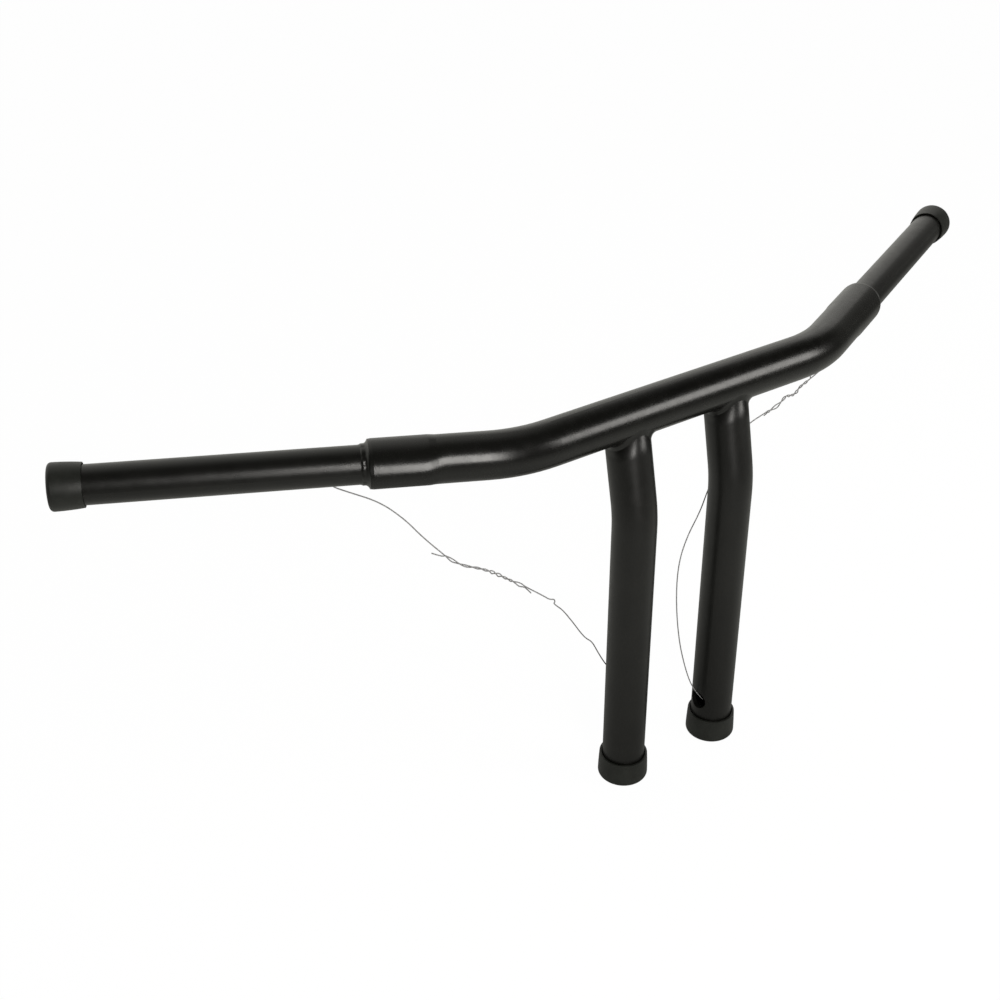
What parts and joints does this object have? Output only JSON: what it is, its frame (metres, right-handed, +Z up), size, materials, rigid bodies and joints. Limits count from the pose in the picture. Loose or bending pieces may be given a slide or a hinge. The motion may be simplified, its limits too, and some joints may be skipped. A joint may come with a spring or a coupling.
{
  "type": "motorcycle handlebar",
  "caption": "Tall T-shaped motorcycle handlebar: a thick cross tube with swept, stepped-down grip ends, welded onto kinked risers, with push-on end caps and pull wires for the cables.",
  "frame": {"origin": "midway between the two riser feet, in the plane of their bottom faces", "axes": "+Z up along the lower legs of the risers, +Y towards the rider, the way the bar ends sweep, +X to the rider's left along the cross tube"},
  "size_m": [0.8072, 0.1671, 0.3229],
  "materials": {
    "black_coat": "satin black powder coat",
    "cap_vinyl": "matte soft vinyl",
    "wire_steel": "dull galvanised wire",
    "bung_steel": "machined steel"
  },
  "bodies": {
    "bar": {"crossbar": "black_coat", "left_grip_tube": "black_coat", "left_step_weld": "black_coat", "left_riser": "black_coat", "left_riser_weld": "black_coat", "left_riser_bung": "bung_steel", "left_grip_wire": "wire_steel", "left_wire_twist": "wire_steel", "left_riser_wire": "wire_steel", "left_inner_wire": "wire_steel", "right_grip_tube": "black_coat", "right_step_weld": "black_coat", "right_riser": "black_coat", "right_riser_weld": "black_coat", "right_riser_bung": "bung_steel", "right_grip_wire": "wire_steel", "right_wire_twist": "wire_steel", "right_riser_wire": "wire_steel", "right_inner_wire": "wire_steel"},
    "left_grip_cap": {"left_grip_cap": "cap_vinyl"},
    "left_riser_cap": {"left_riser_cap": "cap_vinyl"},
    "right_grip_cap": {"right_grip_cap": "cap_vinyl"},
    "right_riser_cap": {"right_riser_cap": "cap_vinyl"}
  },
  "joints": [
    {"name": "left_grip_cap_pull", "type": "slide", "parent": "bar", "child": "left_grip_cap", "axis": [0.9072, 0.4202, 0.0192], "range_m": [0, 0.1]},
    {"name": "left_riser_cap_pull", "type": "slide", "parent": "bar", "child": "left_riser_cap", "axis": [0, 0, -1], "range_m": [0, 0.1]},
    {"name": "right_grip_cap_pull", "type": "slide", "parent": "bar", "child": "right_grip_cap", "axis": [-0.9072, 0.4202, 0.0192], "range_m": [0, 0.1]},
    {"name": "right_riser_cap_pull", "type": "slide", "parent": "bar", "child": "right_riser_cap", "axis": [0, 0, -1], "range_m": [0, 0.1]}
  ]
}
